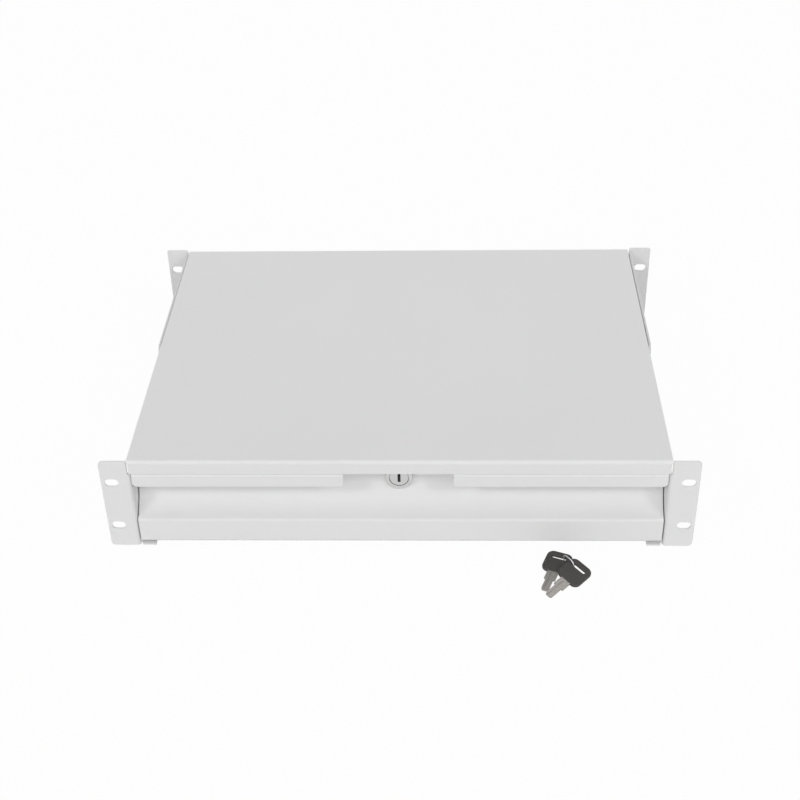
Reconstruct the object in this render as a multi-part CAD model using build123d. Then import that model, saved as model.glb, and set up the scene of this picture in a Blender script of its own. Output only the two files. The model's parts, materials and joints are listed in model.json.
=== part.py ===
from build123d import *
import math
import os

# Sliding 2U rack drawer, all sizes in millimetres.
# Origin: centre of the four front slots, on the back face of the front ears.
# X runs to the right seen from the front, Y to the rear, Z up.

# Rack interface
rack_width = 482.6
ear_height = 87.9
ear_width = 23.0
ear_return = 6.0
slot_inset = 8.75
slot_spacing_z = 44.45
slot_length = 11.5
slot_width = 7.5
ear_corner = 4.0

# Case
case_depth = 345.0
cover_rise = 0.2
plate = 1.5
cover_plate = 1.2
bend_inside = 1.6
flange_width = 12.8
flange_hole_inset = 6.8
cover_stud_front_inset = 71.5
cover_stud_rear_inset = 53.5
rear_flange_inset = 6.0
rear_panel_flange = 10.0
rear_corner_relief = 12.0
panel_screw_height = 18.0
panel_screw_spacing = 40.0
lip_height = 12.7
rear_lip_height = 11.0
lip_end_gap = 0.5
lip_end_trim = 0.8

# Drawer front
front_plate = 1.2
front_side_gap = 0.9
front_top_gap = 0.4
front_bottom_clearance = 3.7
crease_inside = 1.8
scoop_start_angle = 25.0
scoop_radius = 32.5
scoop_wall_run = 14.63
band_height = 12.6
band_bend = 1.5
return_flange = 11.0
notch_width = 89.2
notch_corner = 3.0
band_corner = 4.0

# Tray
tray_plate = 1.0
tray_bend = 1.2
tray_top_drop = 5.1
tray_hem = 6.0
tray_front_flange = 13.0
tray_flange_inset = 8.0
tray_tab_width = 10.4
tray_tab_height = 14.0
fit_gap = 0.3
front_stud_inset = 45.1
front_stud_height = 8.0
tab_stud_offset = 5.6
tab_stud_height = 9.5
back_flange_length = 13.0
back_rivet_low_inset = 12.5
back_rivet_high_inset = 16.0

# Ball-bearing rails
rail_space = 12.7
rail_half_height = 17.0
rail_front = 24.0
rail_rear_gap = 12.0
rail_rivet_front_inset = 26.0
rail_rivet_rear_inset = 24.0
rail_height = 24.95
rail_plate = 1.2
middle_plate = 1.0
cage_plate = 0.5
ball_diameter = 3.0
ball_gap = 0.2
ball_count = 6
ball_pitch = 18.0
cage_length = 100.0
cage_inset = 80.0

# Rear brackets
arm_plate = 1.8
arm_gap = 1.55
arm_front_margin = 14.5
arm_edge_drop = 3.0
arm_corner = 6.0
rear_ear_corner = 2.0
arm_travel = 100.0
arm_screw_drop = 13.0
arm_screw_row_spacing = 23.0
arm_screw_rear_inset = 18.5
arm_screw_pitch = 40.0

# Lock
lock_drop = 16.2
bezel_diameter = 23.0
bezel_thickness = 2.2
seat_diameter = 26.0
barrel_diameter = 18.0
barrel_length = 21.5
plug_diameter = 12.0
plug_face_diameter = 15.5
plug_clearance = 0.15
seat_height = 2.5
lock_nut_flats = 24.0
lock_nut_thickness = 4.0
keyway_width = 2.4
keyway_height = 8.2
keyway_depth = 15.0
cam_thickness = 2.0
cam_reach = 25.0
cam_half_width = 7.0
cam_square = 7.0
strike_reach = 10.0
strike_width = 36.0
strike_flange = 12.0
strike_gap = 1.5

# Fasteners
stud_diameter = 4.0
stud_length = 8.0
nut_flats = 7.0
nut_thickness = 3.2
hole_clearance = 0.2
rivet_diameter = 4.0
rivet_head = 7.5
rivet_head_height = 1.1
bracket_screw_diameter = 5.0
bracket_head_diameter = 9.6
bracket_head_height = 2.7
insert_diameter = 7.0
insert_flange = 9.0
insert_length = 8.0
panel_screw_diameter = 4.0
panel_head_diameter = 8.0
panel_head_height = 2.4

# Bumpers
bumper_diameter = 10.0
bumper_length = 6.0
bumper_inset = 53.0
bumper_height = 34.0

# Keys
key_blade_length = 21.4
key_step_length = 12.6
key_blade_width = 9.2
key_tip_width = 6.1
key_blade_thickness = 2.0
key_head_length = 23.0
key_head_width = 21.4
key_head_thickness = 3.0
key_head_corner = 5.6
key_slot_length = 12.4
key_slot_width = 2.8
key_slot_inset = 6.2
key_root_length = 9.0
lower_key_tip = (116.6, -56.2)
lower_key_angle = 68.2
lower_key_rise = 3.1
upper_key_tip = (118.9, -63.1)
upper_key_angle = 46.3
upper_key_rise = 4.6
upper_key_roll = 13.5
upper_key_lift = 0.8
key_ring_wire = 1.0
key_ring_height = 10.0
key_ring_lean = 8.0
key_ring_offset = 4.2
key_ring_foot_bend = 2.2
key_ring_top_bend = 4.6
floor_gap = 0.1

# Levels shared by several pieces
bottom = -ear_height / 2
top = bottom + ear_height + cover_rise
ear_front = -plate
case_rear = case_depth - plate
cover_under = top - cover_plate
case_width = rack_width - 2 * ear_width
half_case = case_width / 2
inner_wall = half_case - plate
flange_end = inner_wall - flange_width
lip_bottom = top - lip_height
rear_panel_front = case_rear - cover_plate
front_top = lip_bottom - front_top_gap
front_bottom = bottom + front_bottom_clearance
front_half = inner_wall - front_side_gap
band_bottom = front_top - band_height
crease_outside = crease_inside + front_plate
scoop_turn = 90.0 - scoop_start_angle
start_sine = math.sin(math.radians(scoop_start_angle))
start_cosine = math.cos(math.radians(scoop_start_angle))
crease_back = crease_outside * (1 - start_sine)
crease_rise = crease_outside * start_cosine
scoop_depth = crease_back + scoop_radius * (1 - start_sine)
wall_start = front_top - front_plate - band_bend - scoop_wall_run
crease_level = wall_start - scoop_radius * start_cosine - crease_rise
lower_face_height = crease_level - front_bottom
lock_height = front_top - lock_drop
wall_front = ear_front + scoop_depth
wall_back = wall_front + front_plate
seat_front = wall_front - seat_height
tray_bottom = front_bottom + front_plate
tray_floor = tray_bottom + tray_plate
tray_outside = inner_wall - rail_space
tray_inside = tray_outside - tray_plate
tray_top = front_top - tray_top_drop
tray_front = ear_front + front_plate
tray_rear = rear_panel_front - bumper_length - fit_gap
rail_level = bottom + rail_height
rail_end = tray_rear - rail_rear_gap
cage_front = rail_front + cage_inset
slot_spacing_x = rack_width - 2 * slot_inset


# A folded sheet seen on edge: the reference line keeps to its left side.
# Moves are ("line", length) and ("turn", degrees, inside radius); left turns are positive.
def folded_sheet(start, heading, moves, thickness):
    x, y = start
    direction = math.radians(heading)
    left_edges = []
    right_edges = []
    for move in moves:
        ahead = (math.cos(direction), math.sin(direction))
        side = (math.sin(direction), -math.cos(direction))
        left_start = (x, y)
        right_start = (x + thickness * side[0], y + thickness * side[1])
        if move[0] == "line":
            x += move[1] * ahead[0]
            y += move[1] * ahead[1]
            right_end = (x + thickness * side[0], y + thickness * side[1])
            left_edges.append(Line(left_start, (x, y)))
            right_edges.append(Line(right_start, right_end))
            continue
        sign = 1 if move[1] > 0 else -1
        left_radius = move[2] if sign > 0 else move[2] + thickness
        right_radius = move[2] + thickness if sign > 0 else move[2]
        centre = (x - sign * left_radius * side[0], y - sign * left_radius * side[1])
        middle = direction + math.radians(move[1]) / 2
        direction = direction + math.radians(move[1])
        arc_points = []
        for angle, radius in ((middle, left_radius), (direction, left_radius),
                              (middle, right_radius), (direction, right_radius)):
            out = (sign * math.sin(angle), -sign * math.cos(angle))
            arc_points.append((centre[0] + radius * out[0], centre[1] + radius * out[1]))
        left_edges.append(ThreePointArc(left_start, arc_points[0], arc_points[1]))
        right_edges.append(ThreePointArc(right_start, arc_points[2], arc_points[3]))
        x, y = arc_points[1]
    side = (math.sin(direction), -math.cos(direction))
    first = folded_start(start, heading, thickness)
    last = (x + thickness * side[0], y + thickness * side[1])
    caps = [Line(start, first), Line((x, y), last)]
    return make_face(left_edges + right_edges + caps)


def folded_start(start, heading, thickness):
    direction = math.radians(heading)
    return (start[0] + thickness * math.sin(direction), start[1] - thickness * math.cos(direction))


def block(low, high):
    size = [high[axis] - low[axis] for axis in range(3)]
    centre = [(high[axis] + low[axis]) / 2 for axis in range(3)]
    return Pos(*centre) * Box(*size)


def along_x(face, low, high):
    return Pos(low, 0, 0) * extrude(Plane.YZ * face, amount=high - low)


def along_y(face, low, high):
    return Pos(0, low, 0) * extrude(Plane.XZ * face, amount=low - high)


def along_z(face, low, high):
    return Pos(0, 0, low) * extrude(face, amount=high - low)


def rod_x(y, z, low, high, diameter):
    return along_x(Pos(y, z) * Circle(diameter / 2), low, high)


def rod_y(x, z, low, high, diameter):
    return along_y(Pos(x, z) * Circle(diameter / 2), low, high)


def rod_z(x, y, low, high, diameter):
    return along_z(Pos(x, y) * Circle(diameter / 2), low, high)


def mirrored(shape):
    return mirror(shape, about=Plane.YZ)


def save(shape, name):
    export_step(shape, "parts/" + name + ".step")


def save_group(solids, name):
    export_step(Compound(children=list(solids)), "parts/" + name + ".step")


def save_pair(shape, name):
    save(shape, "right_" + name)
    save(mirrored(shape), "left_" + name)


def slot_points(spacing_x, spacing_z):
    return [(x, z) for x in (-spacing_x / 2, spacing_x / 2) for z in (-spacing_z / 2, spacing_z / 2)]


def ear_slots(low, high):
    slots = Part()
    for x, z in slot_points(slot_spacing_x, slot_spacing_z):
        slots += along_y(Pos(x, z) * SlotOverall(slot_length, slot_width), low, high)
    return slots


os.makedirs("parts", exist_ok=True)

# Fastener positions
flange_hole_x = inner_wall - flange_hole_inset
cover_stud_front = ear_front + cover_stud_front_inset
cover_stud_rear = case_rear - cover_stud_rear_inset
cover_stud_ys = [cover_stud_front, (cover_stud_front + cover_stud_rear) / 2, cover_stud_rear]
cover_stud_points = [(side * flange_hole_x, y) for side in (-1, 1) for y in cover_stud_ys]
flange_half = tray_inside - tray_flange_inset
front_stud_x = flange_half - front_stud_inset
front_stud_z = tray_bottom + front_stud_height
front_stud_points = [(share * front_stud_x, front_stud_z) for share in (-1, -1 / 3, 1 / 3, 1)]
tab_stud_x = tray_outside + tab_stud_offset
front_stud_points += [(side * tab_stud_x, tray_bottom + tab_stud_height) for side in (-1, 1)]
rail_rivet_front = rail_front + rail_rivet_front_inset
rail_rivet_rear = rail_end - rail_rivet_rear_inset
rail_rivet_ys = [rail_rivet_front, (rail_rivet_front + rail_rivet_rear) / 2, rail_rivet_rear]
panel_screw_low = bottom + panel_screw_height
panel_screw_zs = [panel_screw_low, panel_screw_low + panel_screw_spacing]
panel_screw_points = [(side * flange_hole_x, z) for side in (-1, 1) for z in panel_screw_zs]
back_rivet_zs = [tray_floor + back_rivet_low_inset, tray_top - back_rivet_high_inset]
back_rivet_y = tray_rear - tray_plate - back_flange_length / 2
arm_screw_high = bottom + ear_height - arm_screw_drop
arm_screw_rows = [arm_screw_high - arm_screw_row_spacing, arm_screw_high]
arm_screw_rear = case_rear - arm_screw_rear_inset
arm_screw_stations = [arm_screw_rear - arm_screw_pitch, arm_screw_rear]

# Side panel: channel-shaped wall, outward front ear, inward rear flange
wall_top = cover_under
wall_run = wall_top - bottom - 2 * plate - 2 * bend_inside
flange_run = inner_wall - bend_inside - flange_end
channel_moves = [("line", flange_run), ("turn", 90, bend_inside), ("line", wall_run),
                 ("turn", 90, bend_inside), ("line", flange_run)]
channel = folded_sheet((flange_end, bottom + plate), 0, channel_moves, plate)
wall_front_edge = ear_front + plate + bend_inside
side_panel = along_y(channel, wall_front_edge, rear_panel_front)
side_panel += block((flange_end, ear_front, bottom), (inner_wall - bend_inside, wall_front_edge, bottom + plate))
ear_run = rack_width / 2 - inner_wall - plate - bend_inside
ear_moves = [("line", ear_run), ("turn", -90, bend_inside), ("line", ear_return)]
ear_face = folded_sheet((rack_width / 2, ear_front), 180, ear_moves, plate)
ear_strip = along_z(ear_face, bottom, bottom + ear_height)
ear_corners = ear_strip.edges().filter_by(Axis.Y).group_by(Axis.X)[-1]
side_panel += fillet(ear_corners, ear_corner)
side_panel += block((flange_end, rear_panel_front - plate, bottom + rear_flange_inset),
                    (inner_wall + plate / 2, rear_panel_front, cover_under - rear_flange_inset))
side_panel -= block((0, ear_front - 1, lip_bottom - lip_end_gap),
                    (half_case + lip_end_gap, wall_front_edge + 4.0, top))
side_panel -= block((0, wall_front_edge, cover_under), (half_case + 0.6, case_rear, top))
rear_relief = bend_inside + fit_gap
side_panel -= block((0, rear_panel_front - rear_relief, cover_under - rear_relief),
                    (half_case + 1, case_rear, top))
side_panel -= ear_slots(ear_front - 1, 1.0)
for y in cover_stud_ys:
    side_panel -= rod_z(flange_hole_x, y, cover_under - 2 * plate, top, stud_diameter + 2 * hole_clearance)
for z in panel_screw_zs:
    hole = panel_screw_diameter + hole_clearance
    side_panel -= rod_y(flange_hole_x, z, rear_panel_front - 3, case_rear, hole)
for y in rail_rivet_ys:
    side_panel -= rod_x(y, rail_level, inner_wall - 1, half_case + 1, rivet_diameter + hole_clearance)
for z in arm_screw_rows:
    for y in arm_screw_stations:
        side_panel -= rod_x(y, z, inner_wall - 1, half_case + 1, insert_diameter + hole_clearance)
save_pair(side_panel, "side_panel")

# Top cover with front lip, rear lip and weld studs
cover_bend = bend_inside + cover_plate
cover_moves = [("line", lip_height - cover_bend), ("turn", -90, bend_inside),
               ("line", case_depth - 2 * cover_bend), ("turn", -90, bend_inside),
               ("line", rear_lip_height - cover_bend)]
cover_face = folded_sheet((ear_front, lip_bottom), 90, cover_moves, cover_plate)
top_cover = along_x(cover_face, -half_case, half_case)
lip_end = block((half_case - lip_end_trim, ear_front - 1, lip_bottom - 1),
                (half_case + 1, wall_front_edge, top - cover_bend))
top_cover -= lip_end + mirrored(lip_end)
for x, y in cover_stud_points:
    top_cover += rod_z(x, y, cover_under - stud_length, cover_under, stud_diameter)
save(top_cover, "top_cover")

# Nuts on the cover studs, under the side panels' top flanges
nut_face = RegularPolygon(nut_flats / 2, 6, major_radius=False)
nut_face -= Circle((stud_diameter + hole_clearance) / 2)
nut_top = cover_under - plate
cover_nuts = []
for x, y in cover_stud_points:
    cover_nuts.append(along_z(Pos(x, y) * nut_face, nut_top - nut_thickness, nut_top))
save_group(cover_nuts, "cover_nuts")

# Rear panel with a forward bottom flange, and its screws
rear_panel_bottom = bottom + plate + fit_gap
rear_panel_top = top - rear_lip_height - fit_gap
rear_moves = [("line", rear_panel_flange), ("turn", 90, bend_inside),
              ("line", rear_panel_top - rear_panel_bottom - cover_plate - bend_inside)]
rear_start = case_rear - cover_plate - bend_inside - rear_panel_flange
rear_face = folded_sheet((rear_start, rear_panel_bottom + cover_plate), 0, rear_moves, cover_plate)
rear_half = inner_wall - fit_gap
rear_panel = along_x(rear_face, -rear_half, rear_half)
corner_relief = block((flange_end - 1.0, rear_start - 1, bottom),
                      (inner_wall, rear_panel_front, bottom + rear_corner_relief))
rear_panel -= corner_relief + mirrored(corner_relief)
for x, z in panel_screw_points:
    hole = panel_screw_diameter + 2 * hole_clearance
    rear_panel -= rod_y(x, z, rear_panel_front - 1, case_rear + 1, hole)
save(rear_panel, "rear_panel")

rear_panel_screws = []
for x, z in panel_screw_points:
    shank = rod_y(x, z, rear_panel_front - 6.0, case_rear, panel_screw_diameter)
    head = rod_y(x, z, case_rear, case_rear + panel_head_height, panel_head_diameter)
    head = fillet(head.edges().group_by(Axis.Y)[-1], panel_head_height * 0.6)
    drive = along_y(Pos(x, z) * (Rectangle(4.2, 0.9) + Rectangle(0.9, 4.2)),
                    case_rear + panel_head_height - 1.4, case_rear + panel_head_height + 1)
    rear_panel_screws.append(shank + head - drive)
save_group(rear_panel_screws, "rear_panel_screws")

# Rubber bumpers that stop the closing tray
rear_bumpers = []
for side in (-1, 1):
    bumper_x = side * (tray_inside - bumper_inset)
    bumper_front = rear_panel_front - bumper_length
    bumper = rod_y(bumper_x, bottom + bumper_height, bumper_front, rear_panel_front, bumper_diameter)
    rear_bumpers.append(fillet(bumper.edges().group_by(Axis.Y)[0], 2.0))
save_group(rear_bumpers, "rear_bumpers")

# Strike that the lock cam hooks behind, under the top cover
cam_front = seat_front + barrel_length + plate
strike_back = cam_front - strike_gap
strike_moves = [("line", strike_reach - plate - bend_inside), ("turn", 90, bend_inside),
                ("line", strike_flange)]
strike_face = folded_sheet((strike_back - plate, cover_under - strike_reach), 90, strike_moves, plate)
lock_strike = along_x(strike_face, -strike_width / 2, strike_width / 2)
save(lock_strike, "lock_strike")

# Drawer front: one folded sheet with lower face, scoop, back wall, top shelf and grip band
front_moves = [("line", return_flange - crease_outside), ("turn", -90, crease_inside),
               ("line", lower_face_height - crease_outside), ("turn", -scoop_turn, crease_inside),
               ("turn", scoop_turn, scoop_radius),
               ("line", scoop_wall_run), ("turn", 90, band_bend),
               ("line", scoop_depth - front_plate - 2 * band_bend), ("turn", 90, band_bend),
               ("line", band_height - front_plate - band_bend)]
front_face = folded_sheet((ear_front + return_flange, front_bottom), 180, front_moves, front_plate)
drawer_front = along_x(front_face, -front_half, front_half)
notch_half = notch_width / 2
drawer_front -= block((-notch_half, ear_front - 1, band_bottom - 1),
                      (notch_half, wall_front - 3.0, front_top + 1))
for corner_x, radius in ((front_half, band_corner), (notch_half, notch_corner)):
    corners = [edge for edge in drawer_front.edges().filter_by(Axis.Y)
               if abs(edge.center().Z - band_bottom) < 0.01 and abs(abs(edge.center().X) - corner_x) < 0.01]
    drawer_front = fillet(corners, radius)
drawer_front += rod_y(0, lock_height, seat_front, wall_back, seat_diameter)
drawer_front -= rod_y(0, lock_height, seat_front - 1, wall_back + 1, barrel_diameter + hole_clearance)
for x, z in front_stud_points:
    drawer_front += rod_y(x, z, tray_front, tray_front + stud_length, stud_diameter)
save(drawer_front, "drawer_front")

# Tray: floor and sides folded from one sheet, hemmed on top, flanged to the front
hem_run = tray_hem - tray_bend
side_run = tray_top - tray_floor - tray_plate - 2 * tray_bend
floor_run = 2 * (tray_inside - tray_bend)
tray_moves = [("line", hem_run), ("turn", 90, tray_bend), ("line", side_run), ("turn", 90, tray_bend),
              ("line", floor_run), ("turn", 90, tray_bend), ("line", side_run), ("turn", 90, tray_bend),
              ("line", hem_run)]
tray_face = folded_sheet((-tray_inside + tray_hem, tray_top - tray_plate), 180, tray_moves, tray_plate)
tray_corner = tray_plate + crease_inside
drawer_tray = along_y(tray_face, tray_front + tray_corner, tray_rear)
back_offset = front_plate + fit_gap
scoop_centre = (wall_front - scoop_radius, wall_start)
clear_radius = scoop_radius + back_offset
clear_points = []
for heading in (scoop_start_angle, scoop_start_angle + scoop_turn / 2, 90.0):
    angle = math.radians(heading)
    clear_points.append((scoop_centre[0] + clear_radius * math.sin(angle),
                         scoop_centre[1] - clear_radius * math.cos(angle)))
clear_low = (ear_front + back_offset, clear_points[0][1] - crease_rise)
clear_edges = [Line((ear_front - 2, clear_low[1]), clear_low), Line(clear_low, clear_points[0]),
               ThreePointArc(*clear_points), Line(clear_points[2], (clear_points[2][0], top)),
               Line((clear_points[2][0], top), (ear_front - 2, top)),
               Line((ear_front - 2, top), (ear_front - 2, clear_low[1]))]
drawer_tray -= along_x(make_face(clear_edges), -inner_wall, inner_wall)
flange_moves = [("line", tray_front_flange), ("turn", -90, crease_inside),
                ("line", tray_front_flange - tray_corner)]
flange_start = tray_front + tray_corner + tray_front_flange
flange_face = folded_sheet((flange_start, tray_bottom), 180, flange_moves, tray_plate)
drawer_tray += along_x(flange_face, -flange_half, flange_half)
tab_bottom = tray_bottom + tray_corner
tab_top = tab_bottom + tray_tab_height
tab = block((tray_inside, tray_front, tab_bottom),
            (tray_outside + tray_tab_width, tray_front + tray_plate, tab_top))
tab += block((tray_inside, tray_front, tab_bottom), (tray_outside, tray_front + tray_corner + 1.0, tab_top))
drawer_tray += tab
drawer_tray += mirrored(tab)
for x, z in front_stud_points:
    hole = stud_diameter + 2 * hole_clearance
    drawer_tray -= rod_y(x, z, tray_front - 1, tray_front + tray_plate + 1, hole)
wall_rivet_points = [(y, rail_level) for y in rail_rivet_ys] + [(back_rivet_y, z) for z in back_rivet_zs]
for y, z in wall_rivet_points:
    hole = rod_x(y, z, tray_inside - 1, tray_outside + 1, rivet_diameter + hole_clearance)
    drawer_tray -= hole
    drawer_tray -= mirrored(hole)
save(drawer_tray, "drawer_tray")

# Nuts that hold the front on its studs
front_nuts = []
nut_low = tray_front + tray_plate
for x, z in front_stud_points:
    front_nuts.append(along_y(Pos(x, z) * nut_face, nut_low, nut_low + nut_thickness))
save_group(front_nuts, "front_nuts")

# Tray back with forward side flanges, and its rivets
back_outside = tray_inside
back_bottom = tray_floor + tray_bend + 0.1
back_top = tray_top - tray_plate - tray_bend - 0.1
back_run = 2 * (back_outside - tray_plate - tray_bend)
back_moves = [("line", back_flange_length), ("turn", 90, tray_bend), ("line", back_run),
              ("turn", 90, tray_bend), ("line", back_flange_length)]
back_start = tray_rear - tray_plate - tray_bend - back_flange_length
back_face = folded_sheet((back_outside - tray_plate, back_start), 90, back_moves, tray_plate)
tray_back = along_z(back_face, back_bottom, back_top)
for z in back_rivet_zs:
    hole = rod_x(back_rivet_y, z, back_outside - 4, back_outside + 1, rivet_diameter + hole_clearance)
    tray_back -= hole
    tray_back -= mirrored(hole)
save(tray_back, "tray_back")


def rivet(y, z, head_x, end_x):
    outward = 1 if head_x > end_x else -1
    low, high = sorted((end_x, head_x))
    head_low, head_high = sorted((head_x, head_x + outward * rivet_head_height))
    head = rod_x(y, z, head_low, head_high, rivet_head)
    face_group = -1 if outward > 0 else 0
    head = fillet(head.edges().group_by(Axis.X)[face_group], rivet_head_height * 0.6)
    return rod_x(y, z, low, high, rivet_diameter) + head


tray_back_rivets = []
for side in (-1, 1):
    for z in back_rivet_zs:
        rivet_end = tray_inside - tray_plate
        tray_back_rivets.append(rivet(back_rivet_y, z, side * tray_outside, side * rivet_end))
save_group(tray_back_rivets, "tray_back_rivets")

# Ball-bearing rails; distances across run from the case wall towards the tray
ball_radius = ball_diameter / 2
outer_ball_height = rail_half_height - rail_plate - ball_gap - ball_radius
middle_half = outer_ball_height - ball_radius - ball_gap
inner_ball_height = middle_half - middle_plate - ball_gap - ball_radius
inner_half = inner_ball_height - ball_radius - ball_gap
outer_width = 9.6
outer_lip = 2.2
middle_back = 2.4
middle_width = 8.2
inner_width = 7.5
outer_ball_across = 5.5
inner_ball_across = 7.5
cage_outer_back = 1.55
cage_inner_back = 3.75
cage_outer_width = 6.6
cage_inner_width = 6.0


def rail_box(across_low, across_high, height_low, height_high, y_low, y_high):
    return block((inner_wall - across_high, y_low, rail_level + height_low),
                 (inner_wall - across_low, y_high, rail_level + height_high))


def rail_channel(back, width, half, thickness, y_low, y_high):
    whole = rail_box(back, back + width, -half, half, y_low, y_high)
    hollow_half = half - thickness
    hollow = rail_box(back + thickness, back + width + 1, -hollow_half, hollow_half, y_low, y_high)
    return whole - hollow


def ball_rows(across, height):
    rows = []
    first = cage_front + (cage_length - (ball_count - 1) * ball_pitch) / 2
    for level in (-height, height):
        for index in range(ball_count):
            rows.append((inner_wall - across, first + index * ball_pitch, rail_level + level))
    return rows


cabinet_rail = rail_channel(0, outer_width, rail_half_height, rail_plate, rail_front, rail_end)
for level in (-1, 1):
    low, high = sorted((level * (rail_half_height - outer_lip), level * rail_half_height))
    cabinet_rail += rail_box(outer_width - 0.8, outer_width, low, high, rail_front, rail_end)
for y in rail_rivet_ys:
    cabinet_rail -= rod_x(y, rail_level, inner_wall - 3, inner_wall + 1, rivet_diameter + hole_clearance)
save_pair(cabinet_rail, "cabinet_rail")

middle_rail = rail_channel(middle_back, middle_width, middle_half, middle_plate, rail_front, rail_end)
save_pair(middle_rail, "middle_rail")

inner_back = rail_space - inner_width
drawer_rail = rail_box(inner_back, rail_space, -inner_half, inner_half, rail_front, rail_end)
hollow_half = inner_half - rail_plate
drawer_rail -= rail_box(inner_back - 1, rail_space - rail_plate, -hollow_half, hollow_half,
                        rail_front - 1, rail_end + 1)
for y in rail_rivet_ys:
    drawer_rail -= rod_x(y, rail_level, tray_outside - 1, tray_outside + 3, rivet_diameter + hole_clearance)
save_pair(drawer_rail, "drawer_rail")

cage_end = cage_front + cage_length


def ball_cage(back, width, height, across):
    cage = rail_box(back, back + cage_plate, -height, height, cage_front, cage_end)
    for level in (-height, height):
        low = level - cage_plate / 2
        cage += rail_box(back, back + width, low, low + cage_plate, cage_front, cage_end)
    for x, y, z in ball_rows(across, height):
        cage -= rod_z(x, y, z - 1, z + 1, ball_diameter + hole_clearance)
    return cage


def balls(across, height):
    return [Pos(*point) * Sphere(ball_radius) for point in ball_rows(across, height)]


outer_ball_cage = ball_cage(cage_outer_back, cage_outer_width, outer_ball_height, outer_ball_across)
inner_ball_cage = ball_cage(cage_inner_back, cage_inner_width, inner_ball_height, inner_ball_across)
save_pair(outer_ball_cage, "outer_ball_cage")
save_pair(inner_ball_cage, "inner_ball_cage")
outer_balls = balls(outer_ball_across, outer_ball_height)
inner_balls = balls(inner_ball_across, inner_ball_height)
save_group(outer_balls, "right_outer_balls")
save_group([mirrored(ball) for ball in outer_balls], "left_outer_balls")
save_group(inner_balls, "right_inner_balls")
save_group([mirrored(ball) for ball in inner_balls], "left_inner_balls")

case_rail_rivets = []
drawer_rail_rivets = []
for side in (-1, 1):
    for y in rail_rivet_ys:
        case_end = side * (inner_wall - rail_plate)
        drawer_end = side * (tray_outside + rail_plate)
        case_rail_rivets.append(rivet(y, rail_level, side * half_case, case_end))
        drawer_rail_rivets.append(rivet(y, rail_level, side * tray_inside, drawer_end))
save_group(case_rail_rivets, "case_rail_rivets")
save_group(drawer_rail_rivets, "drawer_rail_rivets")

# Rear brackets: arm along the side wall and an outward ear, sliding on two screws per slot
arm_inside = half_case + arm_gap
ear_rear = case_rear + arm_plate
arm_front = arm_screw_stations[0] - arm_travel - arm_front_margin
bracket_moves = [("line", ear_rear - arm_plate - bend_inside - arm_front), ("turn", -90, bend_inside),
                 ("line", rack_width / 2 - arm_inside - arm_plate - bend_inside)]
bracket_face = folded_sheet((arm_inside, arm_front), 90, bracket_moves, arm_plate)
rear_bracket = along_z(bracket_face, bottom, bottom + ear_height)
rear_corners = rear_bracket.edges().filter_by(Axis.Y).group_by(Axis.X)[-1]
rear_bracket = fillet(rear_corners, rear_ear_corner)
arm_top = bottom + ear_height - arm_edge_drop
arm_bottom = bottom + arm_edge_drop
arm_cut_end = ear_rear - arm_plate - bend_inside - 1.0
for low, high in ((bottom - 1, arm_bottom), (arm_top, top + 1)):
    rear_bracket -= block((arm_inside - 1, arm_front - 1, low),
                          (arm_inside + arm_plate + 1, arm_cut_end, high))
front_corners = rear_bracket.edges().filter_by(Axis.X).group_by(Axis.Y)[0]
rear_bracket = fillet(front_corners, arm_corner)
rear_bracket -= ear_slots(case_rear - 1, ear_rear + 1)
arm_slot_front = arm_screw_stations[0] - arm_travel
arm_slot_back = arm_screw_stations[-1]
arm_slot_width = bracket_screw_diameter + 2 * hole_clearance
for z in arm_screw_rows:
    arm_slot = SlotOverall(arm_slot_back - arm_slot_front + arm_slot_width + 0.6, arm_slot_width)
    arm_slot = Pos((arm_slot_front + arm_slot_back) / 2, z) * arm_slot
    rear_bracket -= along_x(arm_slot, arm_inside - 1, arm_inside + arm_plate + 1)
save_pair(rear_bracket, "rear_bracket")

bracket_inserts = []
bracket_screws = []
insert_low = half_case - insert_length
insert_high = arm_inside - 0.05
screw_head_low = arm_inside + arm_plate + 0.05
for z in arm_screw_rows:
    for y in arm_screw_stations:
        insert = rod_x(y, z, insert_low, half_case, insert_diameter)
        insert += rod_x(y, z, half_case, insert_high, insert_flange)
        insert -= rod_x(y, z, insert_low - 1, insert_high + 1, bracket_screw_diameter + hole_clearance)
        head = rod_x(y, z, screw_head_low, screw_head_low + bracket_head_height, bracket_head_diameter)
        head = fillet(head.edges().group_by(Axis.X)[-1], bracket_head_height * 0.6)
        drive = along_x(Pos(y, z) * (Rectangle(5.0, 1.0) + Rectangle(1.0, 5.0)),
                        screw_head_low + 1.2, screw_head_low + bracket_head_height + 1)
        shank = rod_x(y, z, insert_low + 1.0, screw_head_low, bracket_screw_diameter)
        screw = shank + head - drive
        bracket_inserts += [insert, mirrored(insert)]
        bracket_screws += [screw, mirrored(screw)]
save_group(bracket_inserts, "bracket_inserts")
save_group(bracket_screws, "bracket_screws")

# Lock body, nut, turning core, cam and cam screw
bezel_front = seat_front - bezel_thickness
barrel_end = seat_front + barrel_length
lock_body = rod_y(0, lock_height, bezel_front, seat_front, bezel_diameter)
lock_body = fillet(lock_body.edges().group_by(Axis.Y)[0], 0.9)
lock_body += rod_y(0, lock_height, seat_front, barrel_end, barrel_diameter)
lock_body -= rod_y(0, lock_height, bezel_front - 1, barrel_end + 1, plug_diameter + 2 * plug_clearance)
face_recess = plug_face_diameter + 4 * plug_clearance
lock_body -= rod_y(0, lock_height, bezel_front - 1, bezel_front + 1.4, face_recess)
save(lock_body, "lock_body")

lock_nut_face = RegularPolygon(lock_nut_flats / 2, 6, major_radius=False)
lock_nut_face -= Circle((barrel_diameter + hole_clearance) / 2)
lock_nut = along_y(Pos(0, lock_height) * lock_nut_face, wall_back, wall_back + lock_nut_thickness)
save(lock_nut, "lock_nut")

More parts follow.
